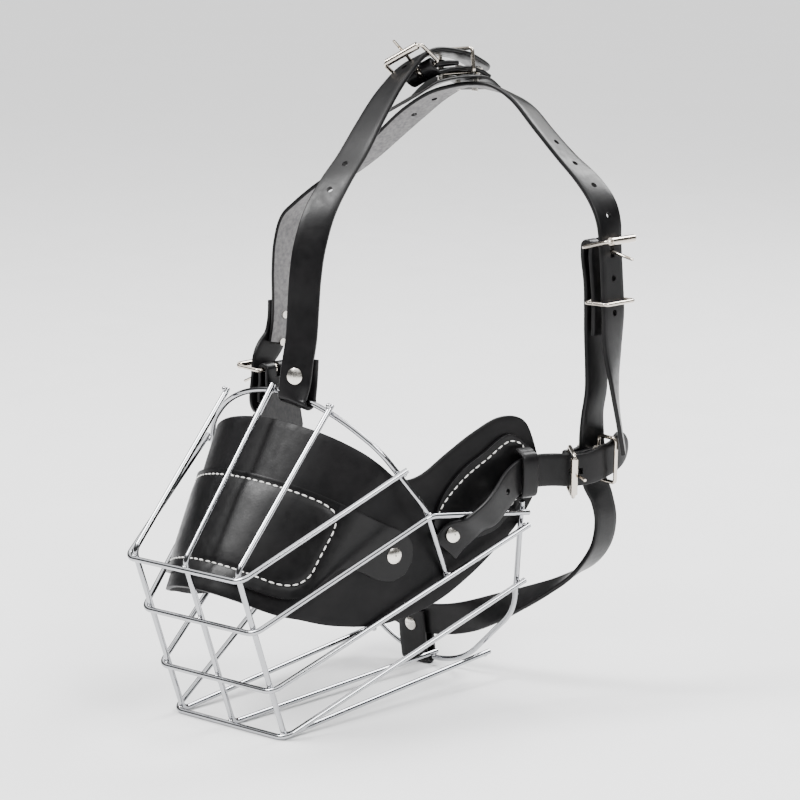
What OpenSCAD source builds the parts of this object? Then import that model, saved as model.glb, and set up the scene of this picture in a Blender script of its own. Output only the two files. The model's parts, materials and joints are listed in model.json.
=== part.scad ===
// Basket muzzle for a broad-headed dog: a welded wire basket, a leather nose saddle
// inside it and a leather harness with roller buckles.
// Frame: nose towards -Y, the dog's left towards +X, +Z up, standing on the floor Z = 0.

/* [Wire basket] */
// Diameter of the chromed wire
wire_d = 2.8; // [2.6:0.1:3]
// Inside bend radius of the front corners of the ring wires
corner_r = 5; // [4:0.5:6]
// Length of wire left past a weld
weld_stub = 1.8; // [1.6:0.1:3]

/* [Leather] */
// Width of the harness straps
strap_w = 16.4; // [15.5:0.1:17]
// Thickness of the harness straps
strap_t = 2.4; // [2:0.1:2.6]
// Thickness of the nose saddle
saddle_t = 2.2; // [1.8:0.1:2.4]
// Thickness of the stitched nose cover and cheek patches
cover_t = 2; // [1.6:0.1:2.2]

/* [Buckles] */
// Distance between a buckle's two bars
buckle_l = 16.4; // [16:0.1:17]
// Clear width between a buckle's arms
buckle_gap = 19.8; // [19:0.1:20]
// Diameter of the buckle wire
frame_d = 2; // [1.8:0.1:2.2]
// Outer diameter of the rollers
roller_d = 3.8; // [3.6:0.1:4]
// Angle by which a prong hangs out of its buckle's plane
prong_droop = 27; // [24:1:30]

/* [Rivets] */
// Diameter of the rivet caps
cap_d = 8; // [7:0.5:8.5]

/* [Hidden] */
$fn = 32;

// The measurements below run from the basket's middle plane and its front; this moves the
// assembly's bounding box over the origin
origin_shift = [-4.1, -103.6, 0];

// ---------------------------------------------------------------- vectors and frames

function unit(v) = v / norm(v);
function mirror_x(p) = [-p.x, p.y, p.z];
function mix(a, b, k) = a + (b - a) * k;
// The part of v at right angles to the unit vector n, made a unit vector
function square_to(v, n) = unit(v - n * (v * n));

// Catmull-Rom curve through the points of a list, n steps to each span
function spline_point(a, b, c, d, k) =
    0.5 * (2 * b + (c - a) * k + (2 * a - 5 * b + 4 * c - d) * k * k + (3 * b - a - 3 * c + d) * k * k * k);
function smooth(p, n) = [
    for (i = [0 : len(p) - 2]) for (k = [0 : n - 1])
        spline_point(p[max(i - 1, 0)], p[i], p[i + 1], p[min(i + 2, len(p) - 1)], k / n),
    p[len(p) - 1]
];

// Places children so that their X, Y and Z axes lie along u, v and u x v at the point p
module in_frame(p, u, v) {
    w = cross(u, v);
    multmatrix([[u.x, v.x, w.x, p.x], [u.y, v.y, w.y, p.y], [u.z, v.z, w.z, p.z], [0, 0, 0, 1]])
        children();
}
// Places children with their Z axis along v at the point p
module along(p, v) {
    n = unit(v);
    u = square_to(abs(n.z) > 0.9 ? [1, 0, 0] : [0, 0, 1], n);
    in_frame(p, u, cross(n, u)) children();
}
module rod(p, q, d) {
    along(p, q - p) cylinder(d = d, h = norm(q - p));
}

// ---------------------------------------------------------------- bent wire

// Half the turn at point i of a wire, and the length of straight its bend takes up
function half_turn(p, i) = acos(min(1, unit(p[i] - p[i - 1]) * unit(p[i + 1] - p[i]))) / 2;
function bend_cut(p, r, i) = (i == 0 || i == len(p) - 1) ? 0 : r[i] * tan(half_turn(p, i));

// Round wire along the points p, with a bend of centre-line radius r[i] at point i.
// A collar a hair wider than the wire joins each straight to each bend.
collar_extra = 0.04;
collar_half = 0.3;
joint_gap = 0.1;
module collar(p, dir, d) { rod(p - dir * collar_half, p + dir * collar_half, d + collar_extra); }
module wire(p, r, d = wire_d) {
    last = len(p) - 1;
    for (i = [0 : last - 1]) {
        dir = unit(p[i + 1] - p[i]);
        rod(p[i] + dir * (bend_cut(p, r, i) + (i == 0 ? 0 : joint_gap)),
            p[i + 1] - dir * (bend_cut(p, r, i + 1) + (i == last - 1 ? 0 : joint_gap)), d);
    }
    for (i = [1 : last - 1]) {
        dir = unit(p[i] - p[i - 1]);
        dir_out = unit(p[i + 1] - p[i]);
        side = square_to(p[i + 1] - p[i], dir);
        start = p[i] - dir * bend_cut(p, r, i);
        in_frame(start + side * r[i], -side, dir)
            rotate_extrude(angle = 2 * half_turn(p, i)) translate([r[i], 0]) circle(d = d);
        collar(start, dir, d);
        collar(p[i] + dir_out * bend_cut(p, r, i), dir_out, d);
    }
}
// Closed rectangle of wire with rounded corners, a by b between centre lines, in the XY plane
module wire_loop(a, b, r, d) {
    for (s = [-1, 1]) {
        rod([s * a / 2, -b / 2 + r, 0], [s * a / 2, b / 2 - r, 0], d);
        rod([-a / 2 + r, s * b / 2, 0], [a / 2 - r, s * b / 2, 0], d);
    }
    for (q = [0 : 3]) {
        sx = (q == 0 || q == 3) ? 1 : -1;
        sy = q < 2 ? 1 : -1;
        translate([sx * (a / 2 - r), sy * (b / 2 - r), 0]) rotate(q * 90)
            rotate_extrude(angle = 90) translate([r, 0]) circle(d = d);
    }
}

// ---------------------------------------------------------------- leather sheets and straps

// Closed solid between two grids of points with the same rows and columns
module slab(top, bottom) {
    ni = len(top);
    nj = len(top[0]);
    n = ni * nj;
    points = [for (row = top) for (p = row) p, for (row = bottom) for (p = row) p];
    function quad(a, b, c, d) = [[a, c, b], [a, d, c]];
    faces = [
        for (i = [0 : ni - 2]) for (j = [0 : nj - 2])
            each quad(i * nj + j, (i + 1) * nj + j, (i + 1) * nj + j + 1, i * nj + j + 1),
        for (i = [0 : ni - 2]) for (j = [0 : nj - 2])
            each quad(n + i * nj + j, n + i * nj + j + 1, n + (i + 1) * nj + j + 1, n + (i + 1) * nj + j),
        for (i = [0 : ni - 2])
            each quad(i * nj, n + i * nj, n + (i + 1) * nj, (i + 1) * nj),
        for (i = [0 : ni - 2])
            each quad((i + 1) * nj + nj - 1, n + (i + 1) * nj + nj - 1, n + i * nj + nj - 1, i * nj + nj - 1),
        for (j = [0 : nj - 2])
            each quad(j + 1, n + j + 1, n + j, j),
        for (j = [0 : nj - 2])
            each quad((ni - 1) * nj + j, n + (ni - 1) * nj + j, n + (ni - 1) * nj + j + 1, (ni - 1) * nj + j + 1)
    ];
    polyhedron(points, faces);
}

// Flat strap along route, a list of [centre, width direction]
module strap(route, w = strap_w, t = strap_t, steps = 3, tip = false) {
    c = smooth([for (r = route) r[0]], steps);
    s = smooth([for (r = route) r[1]], steps);
    m = len(c) - 1;
    function tangent(i) = unit(c[min(i + 1, m)] - c[max(i - 1, 0)]);
    function across(i) = square_to(s[i], tangent(i));
    function half_w(i) = (tip && i >= m - 2) ? w / 2 * (i == m ? 0.4 : i == m - 1 ? 0.75 : 0.95) : w / 2;
    function row(i, k) = [for (j = [-1, 1]) c[i] + across(i) * half_w(i) * j + cross(tangent(i), across(i)) * k];
    slab([for (i = [0 : m]) row(i, t / 2)], [for (i = [0 : m]) row(i, -t / 2)]);
}
// Centre-line points of a fold round a bar at c: from direction u turning towards v
function fold(c, u, v, r, from, to, n) = [
    for (i = [0 : n]) let (a = mix(from, to, i / n)) c + u * (r * cos(a)) + v * (r * sin(a))
];
function with_width(points, s) = [for (p = points) [p, s]];

// ---------------------------------------------------------------- wire basket

// Front corners lean on the upright stretch of the long wires, from its top bend to the floor
upright_top = [35, 0.6, 87.5];
upright_foot = [35, 31.7, wire_d / 2];
weld_step = wire_d - 0.04;
upright_dir = unit(upright_foot - upright_top);
upright_front = [0, upright_dir.z, -upright_dir.y];
// Point on the front bars' line, k of the way down the uprights, at half width x
function front_corner(x, k) =
    [x, mix(upright_top, upright_foot, k).y, mix(upright_top, upright_foot, k).z]
    + upright_front * weld_step;

// Half widths and heights of the four rings' front corners
ring_front = [
    front_corner(38.5, 0.03), front_corner(37.6, 0.345), front_corner(38, 0.70),
    [37.6, 29, wire_d / 2]
];
// Where the rings' legs end, or bend, on the near side
ring_1_end = [67.8, 83.5, 128.5];
ring_2_knee = [74.4, 93.5, 105.4];
ring_2_end = [86.6, 152.6, 99.4];
ring_3_end = [85.4, 154.6, 92.6];
ring_4_end = [73.6, 166, 60.4];

// Plane of the nose arch and plane of the rear hoop
arch_lean = 0.549;
hoop_lean = 0.314;
function arch_point(x, z) = [x, 151.5 - arch_lean * z, z];
function hoop_point(x, z) = [x, 182 - hoop_lean * (z - wire_d / 2), z];

// The leather loop that wraps the rear hoop stands on the floor and lifts the hoop off it
loop_t = 2;
loop_r = wire_d / 2 + 0.45 + loop_t / 2;
hoop_floor_z = loop_r + loop_t / 2;

module chrome() { translate(origin_shift) color([0.82, 0.83, 0.85]) children(); }
module ring_wire(legs, front) {
    n = len(legs);
    p = [for (i = [n - 1 : -1 : 0]) mirror_x(legs[i]), mirror_x(front), front, each legs];
    r = [for (i = [n - 1 : -1 : 0]) 10, corner_r + wire_d / 2, corner_r + wire_d / 2, for (q = legs) 10];
    chrome() wire(p, r);
}
module ring_wire_1() { ring_wire([ring_1_end], ring_front[0]); }
module ring_wire_2() { ring_wire([ring_2_knee, ring_2_end], ring_front[1]); }
module ring_wire_3() { ring_wire([ring_3_end], ring_front[2]); }
module ring_wire_4() { ring_wire([ring_4_end], ring_front[3]); }

module arch_wire() {
    side = [arch_point(67.5, 69.4), arch_point(72.2, 109.4), arch_point(57, 137.4), arch_point(26, 162.3)];
    chrome() wire(
        [for (i = [0 : 3]) mirror_x(side[i]), for (i = [3 : -1 : 0]) side[i]],
        [0, 20, 40, 74, 74, 40, 20, 0]
    );
}
module rear_hoop_wire() {
    side = [hoop_point(84.9, 105.4), hoop_point(64, 42), hoop_point(18, hoop_floor_z)];
    chrome() wire(
        [for (i = [0 : 2]) mirror_x(side[i]), for (i = [2 : -1 : 0]) side[i]],
        [0, 40, 47, 47, 40, 0]
    );
}
// Long wire: from a stub over the arch, down to the front, down the uprights, back along the floor
module long_wire(top, x, foot, left = false) {
    bend = [x, upright_top.y, upright_top.z];
    floor_bend = [x, upright_foot.y, upright_foot.z];
    chrome() mirror([left ? 1 : 0, 0, 0]) wire(
        [top + unit(top - bend) * weld_stub, bend, floor_bend, foot + unit(foot - floor_bend) * weld_stub],
        [0, 6, 5, 0]
    );
}
side_top = [35.3, 64.4, 157.3];
side_foot = [39.6, 177, 14.4];
module long_wire_middle() { long_wire([0, 60.3, 164], 0, [0, 181.3, hoop_floor_z + weld_step]); }
module long_wire_right() { long_wire(side_top, 35, side_foot); }
module long_wire_left() { long_wire(side_top, 35, side_foot, left = true); }

// ---------------------------------------------------------------- nose saddle

// The saddle is a tunnel over the nose whose sides spread towards the rear.
// t runs down the ridge from the arch, q runs round the tunnel from the ridge.
ridge = [0, 58, 149.4];
ridge_down = unit([0, -48, -72]);
ridge_in = [0, -ridge_down.z, ridge_down.y];
tunnel_h = 30;
tunnel_q = 55;
// Half width of the saddle's outer face at the distance y from the nose end
function saddle_half(y) = 33.5 + 0.285 * min(y, 94) + 0.31 * max(y - 94, 0);
function saddle_raw(t, q) =
    let (
        turn = min(q / tunnel_q, 1) * 90,
        h = tunnel_h * (1 - cos(turn)) + max(q - tunnel_q, 0),
        p = ridge + ridge_down * t + ridge_in * h
    )
    [saddle_half(p.y) * sin(turn), p.y, p.z];
function saddle_normal(t, q) =
    unit(cross(saddle_raw(t + 0.5, q) - saddle_raw(t - 0.5, q), saddle_raw(t, q + 0.5) - saddle_raw(t, q - 0.5)));
// Point on the saddle, off outside its outer face
function on_saddle(t, q, off) =
    let (p = saddle_raw(t, max(q, 0)), n = q <= 0 ? -ridge_in : saddle_normal(t, q)) p + n * off;

// Sheet of leather on the saddle between a lower and an upper edge, each a list of [t, q]
module saddle_sheet(lower, upper, off, thick, both, steps = 3, rows = 8) {
    lo = smooth(lower, steps);
    up = smooth(upper, steps);
    m = len(lo) - 1;
    start = both ? -m : 0;
    function row(i, k) = [
        for (j = [0 : rows])
            let (e = mix(lo[abs(i)], up[abs(i)], j / rows), p = on_saddle(e[0], e[1], k))
            i < 0 ? mirror_x(p) : p
    ];
    slab([for (i = [start : m]) row(i, off)], [for (i = [start : m]) row(i, off - thick)]);
}

saddle_lower = [
    [91.5, 0], [91.5, 22], [91, 40], [88, 54], [82, 74], [70, 97], [50, 116], [28, 127], [5, 134], [-8, 136.5], [-20, 136.5]
];
saddle_upper = [
    [0, 0], [1, 22], [3, 40], [5, 53], [6, 66], [-1, 75], [-17, 82], [-32, 89], [-46, 98.5], [-50, 112], [-36, 131]
];
cover_gap = 0.2;
cover_lower = [
    [84, 0], [84, 16], [84, 30], [82, 42], [76, 50], [66, 55], [57, 60], [54, 69], [53, 80], [50, 88], [44, 92.5]
];
cover_upper = [
    [30, 0], [30, 12], [30, 24], [30, 34], [30, 44], [29.5, 53], [29, 62], [28, 72], [27, 81], [30, 88], [37, 92.5]
];
patch_lower = [[20, 101], [16, 112], [5, 124], [-4, 127.5], [-16, 130], [-27, 128]];
patch_upper = [[16, 93], [4, 90], [-12, 92], [-26, 98], [-40, 105], [-41, 118]];

module black_leather() { translate(origin_shift) color([0.07, 0.07, 0.08]) children(); }
module nose_saddle() {
    black_leather() saddle_sheet(saddle_lower, saddle_upper, 0, saddle_t, true);
}
module nose_cover() {
    black_leather() saddle_sheet(cover_lower, cover_upper, cover_gap + cover_t, cover_t, true, rows = 6);
}
module cheek_patch(left) {
    black_leather() mirror([left ? 1 : 0, 0, 0])
        saddle_sheet(patch_lower, patch_upper, cover_gap + cover_t, cover_t, false, rows = 5);
}
module cheek_patch_right() { cheek_patch(left = false); }
module cheek_patch_left() { cheek_patch(left = true); }

// ---------------------------------------------------------------- buckles

// A buckle is [centre of its strap bar, direction to its roller, direction of its bars,
// angle of its prong out of its plane, middle of the prong's swing from there]
buckle_w = buckle_gap + frame_d;
eye_r = frame_d / 2 + 0.15;
prong_d = 1.8;
prong_l = 22.5;
bar_clear = 0.1;
resting = [11, 6];
hanging = [prong_droop, -4];

right_u = unit([12, -11, -1.6]);
crown_buckle = [[11, 157, 312.5], unit([0, -0.83, 0.56]), unit([-0.81, -0.33, -0.4891]), each resting];
side_buckle = [[98, 189.5, 229.5], unit([16, 0, 4]), [0, 1, 0], each hanging];
right_buckle = [[93, 176, 119.5], right_u, square_to([0, 0, 1], right_u), each resting];
left_buckle = [[-91, 155, 151], unit([-16, 0, 1]), [0, -1, 0], each hanging];

module nickel() { translate(origin_shift) color([0.72, 0.69, 0.66]) children(); }
module buckle_frame(b) {
    nickel() in_frame(b[0], b[1], b[2]) translate([buckle_l / 2, 0, 0])
        wire_loop(buckle_l, buckle_w, 2, frame_d);
}
module buckle_roller(b) {
    nickel() in_frame(b[0], b[1], b[2]) translate([buckle_l, 0, 0]) rotate([90, 0, 0])
        difference() {
            cylinder(d = roller_d, h = buckle_gap - 1.6, center = true);
            cylinder(d = frame_d + 2 * bar_clear, h = buckle_gap, center = true);
        }
}
// Prong: an eye round the strap bar and a shank that tapers past the roller
module buckle_prong(b) {
    nickel() in_frame(b[0], b[1], b[2]) rotate([0, b[3], 0]) {
        rotate([90, 0, 0]) rotate_extrude() translate([eye_r + prong_d / 2, 0]) circle(d = prong_d);
        translate([eye_r + prong_d / 2, 0, 0]) rotate([0, 90, 0])
            cylinder(d1 = prong_d, d2 = prong_d * 0.8, h = prong_l - eye_r);
    }
}
module crown_buckle_frame() { buckle_frame(crown_buckle); }
module crown_buckle_roller() { buckle_roller(crown_buckle); }
module crown_buckle_prong() { buckle_prong(crown_buckle); }
module side_buckle_frame() { buckle_frame(side_buckle); }
module side_buckle_roller() { buckle_roller(side_buckle); }
module side_buckle_prong() { buckle_prong(side_buckle); }
module cheek_buckle_frame_right() { buckle_frame(right_buckle); }
module cheek_buckle_roller_right() { buckle_roller(right_buckle); }
module cheek_buckle_prong_right() { buckle_prong(right_buckle); }
module cheek_buckle_frame_left() { buckle_frame(left_buckle); }
module cheek_buckle_roller_left() { buckle_roller(left_buckle); }
module cheek_buckle_prong_left() { buckle_prong(left_buckle); }

// ---------------------------------------------------------------- keepers

keeper_d = 2;
module keeper(p, u, v, a, b) { nickel() in_frame(p, u, v) wire_loop(a, b, 1.8, keeper_d); }
module crown_keeper() { keeper([10, 186, 316.2], unit([-0.1, 0, 1]), unit([1, 0, 0.1]), 12.2, buckle_w); }
module side_keeper() { keeper([107.3, 189, 202.5], [1, 0, 0], [0, 1, 0], 13.4, buckle_w); }
module cheek_keeper_right() { keeper([104.7, 191.5, 122.8], square_to([1, 0, 0], right_buckle[2]), right_buckle[2], 11, buckle_w + 1); }

// ---------------------------------------------------------------- straps

slot_w = prong_d + 1.2;
// Oblong hole in a strap that a buckle's prong swings in
module prong_hole(b, from, to, high = 7) {
    in_frame(b[0], b[1], b[2]) rotate([0, b[3] + b[4], 0])
        translate([(from + to) / 2, 0, 0]) cube([to - from, slot_w, high], center = true);
}

// A folded strap turns round its buckle's bar towards apex, from its leg at side +1 to its leg
// at side -1, and is slotted there for the prong
fold_r = frame_d / 2 + 0.3 + strap_t / 2;
slot_leg = 4;
slot_leg_end = 5.6;
function fold_side(b, apex) = cross(apex, b[2]);
function fold_leg(b, apex, side) = [b[0] + fold_side(b, apex) * (side * fold_r) - apex * slot_leg_end, b[2]];
module folded_strap(b, apex, before, after) {
    black_leather() difference() {
        strap([
            each before,
            fold_leg(b, apex, 1),
            each with_width(fold(b[0], fold_side(b, apex), apex, fold_r, 0, 180, 6), b[2]),
            fold_leg(b, apex, -1),
            each after
        ], steps = 2);
        in_frame(b[0], fold_side(b, apex), apex)
            translate([-fold_r - strap_t, -slot_leg, -slot_w / 2])
                cube([2 * (fold_r + strap_t), slot_leg + fold_r + strap_t, slot_w]);
    }
}

// Forehead strap: folded round the arch and riveted, up the face, through the crown buckle
arch_bar = arch_point(14.5, 160.6);
arch_along = [1, 0.11, -0.2];
forehead_yaw = [0.94, 0.34, 0];
forehead_route = [
    each with_width([[14.7, 67.4, 179], [14.5, 66.9, 170]], forehead_yaw),
    each with_width(fold(arch_bar, [0, 1, 0], [0, 0, -1], 3.4, 0, 180, 4), arch_along),
    each with_width([[14.5, 62, 168], [14.5, 64, 178], [14.5, 66.5, 189]], forehead_yaw),
    [[14, 68.5, 204], [0.93, 0.37, 0]],
    [[14, 70, 218], [0.92, 0.4, 0]],
    [[14, 73, 232], [0.9, 0.44, 0]],
    [[14, 80, 248], [0.9, 0.42, 0.1]],
    [[14, 91, 262], [0.88, 0.42, 0.2]],
    [[14, 104, 275], [0.86, 0.4, 0.3]],
    [[13, 117, 289], [0.84, 0.36, 0.4]],
    [[12, 130, 302], [0.82, 0.34, 0.46]],
    [[11.5, 141, 311], [0.81, 0.33, 0.49]],
    [[11, 150.4, 317], [0.81, 0.33, 0.49]],
    [[11, 160, 320.6], [0.86, 0.2, 0.4]],
    [[10.6, 172, 321.4], [0.97, 0.05, 0.2]],
    [[10, 186, 319.6], [1, 0, 0.1]],
    [[9, 198, 316], [1, 0, 0]],
    [[8, 209, 311], [1, 0, 0]]
];
module forehead_strap() {
    black_leather() difference() {
        strap(forehead_route, tip = true);
        prong_hole(crown_buckle, 4, 13);
    }
}

// Crown strap: its free end hangs in the side buckle; it runs over the crown to the left side
crown_route = [
    [[113, 194, 128], [-0.6, 0.8, 0]],
    [[112.4, 191.5, 140], [-0.6, 0.8, 0]],
    [[111.6, 189.6, 152], [-0.55, 0.83, 0]],
    [[110.6, 188.6, 165], [-0.4, 0.9, 0]],
    [[109.5, 188.5, 180], [-0.15, 1, 0]],
    [[109.3, 189, 197], [0, 1, 0]],
    [[108, 189.4, 214], [0, 1, 0]],
    [[106.6, 189.6, 230], [0, 1, 0]],
    [[105, 190, 242], [0.1, 1, 0]],
    [[100.5, 190, 252], [0.2, 1, 0]],
    [[91, 190, 262], [0.1, 1, 0]],
    [[78, 190, 272], [0, 1, -0.1]],
    [[64, 190, 284], [0, 1, -0.2]],
    [[50, 190.5, 296], [0.1, 0.95, -0.32]],
    [[36, 190.5, 302.4], [0.1, 0.92, -0.36]],
    [[22, 190, 304.2], [0, 0.98, -0.2]],
    [[8, 189.5, 303.4], [0, 1, 0]],
    [[-6, 189, 298], [0, 1, -0.15]],
    [[-21, 188, 288.4], [0, 0.95, -0.3]],
    [[-34, 187, 278.4], [-0.1, 0.93, -0.35]],
    [[-49, 185, 266], [-0.15, 0.95, -0.3]],
    [[-64, 182, 255], [-0.15, 0.97, -0.2]],
    [[-77, 178, 246.5], [-0.15, 1, -0.1]],
    [[-87, 174, 238], [-0.1, 1, 0]],
    [[-93, 171, 230], [-0.05, 1, 0]],
    [[-95.5, 169, 217], [0, 1, 0]],
    [[-96, 168, 202], [0, 1, 0]],
    [[-96, 168, 187], [0, 1, 0]],
    [[-96.2, 167.5, 174], [0, 1, 0]],
    [[-96.4, 165.5, 163], [0, 1, 0]]
];
module crown_strap() {
    black_leather() difference() {
        strap(crown_route);
        prong_hole(side_buckle, 5, 13);
    }
}
module side_strap_left() {
    black_leather() difference() {
        strap(with_width([
            [-98.8, 168, 186], [-99.1, 167.5, 175], [-99.4, 164.4, 165], [-99.2, 157.6, 158],
            [-99, 155.2, 152], [-99, 154.8, 146], [-98.8, 153.4, 138], [-97.6, 151.4, 126]
        ], [0, 1, 0]), tip = true);
        prong_hole(left_buckle, 5, 13);
    }
}

// Reinforcement where the crown strap and the crown buckle's strap cross
crown_patch_route = [
    each with_width([[10, 145, 297.5], [10, 152, 300], [10, 161, 302.8]], [0.88, 0.1, 0.46]),
    [[10, 172, 306.2], [0.96, 0, 0.24]],
    each with_width([[10, 182, 308], [10, 190, 307.8], [10, 198, 305.8], [10, 205, 301.6]], [1, 0, 0.09])
];
module crown_patch() {
    black_leather() strap(crown_patch_route, w = 26, t = 1.6);
}
// Folded strap that carries the crown buckle
crown_apex = square_to([0, -1, 0.1], crown_buckle[2]);
module crown_buckle_strap() {
    folded_strap(crown_buckle, crown_apex, [
        [[10, 203, 307.4], [-1, 0, -0.08]],
        [[10, 196, 310.6], [-1, 0, -0.08]],
        [[10, 187, 312.3], [-1, 0, -0.1]],
        [[10.2, 178, 312], [-1, 0, -0.14]],
        [[10.6, 170, 311.2], [-0.95, -0.1, -0.24]]
    ], [
        [[10.2, 170, 314.9], [-0.95, -0.1, -0.24]],
        [[9.8, 178, 315], [-1, 0, -0.14]]
    ]);
}

// Strap that carries the side buckle, down to the cheek buckle's tab
side_apex = [0, 0, 1];
module side_strap_right() {
    folded_strap(side_buckle, side_apex, [
        [[96.3, 190.8, 122.4], [0.17, 0.985, 0]],
        [[96.6, 189.4, 133], [0.12, 0.99, 0]],
        each with_width([
            [98.4, 187.4, 145], [100.4, 187.6, 158], [100, 188, 171], [98.8, 188.6, 186],
            [98.2, 189, 202], [97.4, 189.4, 212]
        ], [0, 1, 0])
    ], with_width([[101.8, 189.4, 212], [103, 189, 202], [103, 189, 186]], [0, 1, 0]));
}
// Folded tab that carries the right cheek buckle; the side and throat straps end inside it
tab_apex = square_to([-0.25, -0.97, 0], right_buckle[2]);
module cheek_buckle_tab() {
    folded_strap(right_buckle, tab_apex, with_width([
        [93.6, 200, 122.4], [92.6, 189, 121.4]
    ], right_buckle[2]), with_width([
        [101.2, 189, 121.4], [102.6, 199, 122.4]
    ], right_buckle[2]));
}

// Cheek straps: riveted to the saddle, over the second ring's wire, through the loop, to the buckle
cheek_start = [
    [[69.1, 109.5, 85.4], [-0.19, -0.61, 0.78]],
    [[71.5, 114.4, 91.4], [-0.19, -0.61, 0.78]],
    [[79.2, 119, 97.4], [0.4, -0.57, 0.72]],
    [[85.3, 124, 103], [0.15, -0.6, 0.78]],
    [[86.8, 131, 109.5], [0.1, -0.6, 0.8]],
    [[86.4, 139, 115.4], [0, -0.45, 0.9]]
];
module cheek_strap_right() {
    black_leather() difference() {
        strap([
            each cheek_start,
            [[86.2, 148, 119], [0, -0.15, 1]],
            [[88, 157, 119.8], [0, 0, 1]],
            [[92.4, 164.4, 119.8], [0, 0, 1]],
            [[98.6, 171.4, 119.4], [0, 0, 1]],
            [[103, 180, 120], [0, 0, 1]],
            [[105, 190, 122.2], [0, 0, 1]],
            [[105.4, 199, 125.6], [0, -0.3, 1]],
            [[103.8, 206, 133], [0, -0.6, 0.8]]
        ], tip = true);
        prong_hole(right_buckle, 3.6, 13);
    }
}
left_apex = [0, 0, 1];
module cheek_strap_left() {
    folded_strap(left_buckle, left_apex, [
        for (r = cheek_start) [mirror_x(r[0]), mirror_x(r[1])],
        [[-86, 146, 124], [0, -0.7, 0.7]],
        [[-86.6, 151.4, 131.6], [0, -0.9, 0.4]],
        [[-88, 154.6, 140], [0, -1, 0.1]]
    ], with_width([[-94, 154.8, 140], [-94, 154.4, 133]], [0, -1, 0]));
}
// Leather loop on the cheek patch at p that the cheek strap runs under, along u; up lies across it
loop_out = [1, -0.3, 0];
module strap_loop(p, u, up) {
    out = square_to(square_to(loop_out, u), up);
    black_leather() strap(with_width([
        for (k = [[-12.4, -3.4], [-11.4, -1], [-9.3, 2.6], [0, 3.6], [8.2, 3], [10.6, -0.6], [11.6, -3.4]])
            p + up * k[0] + out * k[1]
    ], u), w = 9, t = 1.8, steps = 2);
}
module strap_loop_right() { strap_loop([87.2, 150, 119.4], unit([0.286, 1, 0]), [0, 0, 1]); }
module strap_loop_left() {
    mirror([1, 0, 0]) translate([-2 * origin_shift.x, 0, 0])
        strap_loop([86.8, 143, 119], unit([0.1, 0.7, 0.7]), unit([0, -0.7, 0.7]));
}

// Throat strap: from the right tab, down and across under the jaw, up into the left strap's fold
throat_route = [
    [[95.7, 191.8, 119.8], [0.17, 0.985, 0]],
    [[96, 192.8, 111], [0.1, 1, 0]],
    [[98, 196.6, 101], [0, 1, 0]],
    [[99.4, 198, 89], [0, 1, 0]],
    [[97.4, 196, 76], [0, 1, 0.1]],
    [[90.4, 190, 64.5], [0.1, 1, 0.3]],
    [[77, 184.5, 54.6], [0.1, 1, 0.5]],
    [[61, 181, 46], [0, 0.75, 0.65]],
    [[43, 179.4, 37.6], [0, 0.45, 0.88]],
    [[25, 179, 30.4], [0, 0.1, 0.98]],
    [[7, 178.9, 26], [0, -0.05, 0.98]],
    [[-11, 178.7, 25], [0, -0.08, 0.98]],
    [[-29, 178.4, 30], [0, 0.1, 0.98]],
    [[-45, 177, 40], [0, 0.45, 0.88]],
    [[-60, 174.6, 53], [0, 0.7, 0.7]],
    [[-73, 171.4, 69], [0, 0.9, 0.4]],
    [[-82, 168.4, 87], [0, 1, 0.2]],
    [[-87, 166, 103], [0, 1, 0.1]],
    [[-90, 163, 118], [0, 1, 0]],
    [[-91, 159, 130], [0, 1, 0]],
    [[-91, 156, 141], [0, 1, 0]]
];
module throat_strap() { black_leather() strap(throat_route); }

// Loop that hangs the throat strap from the rear hoop's floor wire
throat_x = -11;
module throat_loop() {
    bar = hoop_point(throat_x, hoop_floor_z);
    black_leather() strap(with_width([
        [throat_x, 181.4, 29], [throat_x, 181.9, 21], [throat_x, 183.4, 12],
        each fold(bar, [0, 1, 0], [0, 0, -1], loop_r, 0, 180, 4),
        [throat_x, 177, 12], [throat_x, 176.1, 21], [throat_x, 174.8, 29]
    ], [1, 0, 0]), w = 18, t = loop_t, steps = 2);
}

// ---------------------------------------------------------------- rivets

// Domed cap rivet through a stack of leather; the cap sits on p and n points out of it
module rivet(p, n, stack, d = cap_d, high = 1.5) {
    along(p, n) {
        intersection() {
            translate([0, 0, high - d * 1.1]) sphere(d = 2.2 * d);
            cylinder(d = d, h = 4);
        }
        translate([0, 0, -stack - 0.4]) cylinder(d = 3, h = stack + 1);
        translate([0, 0, -stack - 1.2]) cylinder(d = d - 1.5, h = 1);
    }
}
module saddle_rivets() {
    tab_off = cover_gap + cover_t;
    strap_off = tab_off + strap_t + 1.3;
    nickel() for (m = [0, 1]) mirror([m, 0, 0]) {
        rivet(on_saddle(39, 82, tab_off), saddle_normal(39, 82), saddle_t + tab_off);
        rivet(on_saddle(16, 103, strap_off), saddle_normal(16, 103), saddle_t + strap_off);
    }
}
module forehead_rivet() { nickel() rivet([14.9, 61.4, 171], unit([0.34, -0.94, 0.1]), 7.2); }
module crown_rivets() {
    nickel() {
        for (x = [4, 16]) rivet([x, 195.4, 312], [0, 0.2, 1], 10, 5);
        rivet([9.8, 174, 316.1], [0, 0, 1], 8.6, 5);
    }
}
module side_rivets_right() {
    nickel() {
        rivet([104.1, 189, 191.5], [1, 0, 0], 6.4, 5.5);
        rivet([103, 189.3, 212.5], unit([1, 0, 0.1]), 6.8, 5.5);
    }
}
module side_rivets_left() {
    nickel() {
        for (z = [163.5, 178]) rivet([-100.5, z < 170 ? 165.5 : 167.6, z], [-1, 0, 0], 5.4, 5.5);
        rivet([-95.1, 154.8, 138.5], [-1, 0, 0], 8.4, 5.5);
    }
}
module cheek_rivets_right() {
    nickel() for (z = [116.8, 127.4]) rivet([101.3, 187, z], unit([1, -0.1, 0]), 10, 5.5, 1.2);
}
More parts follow.
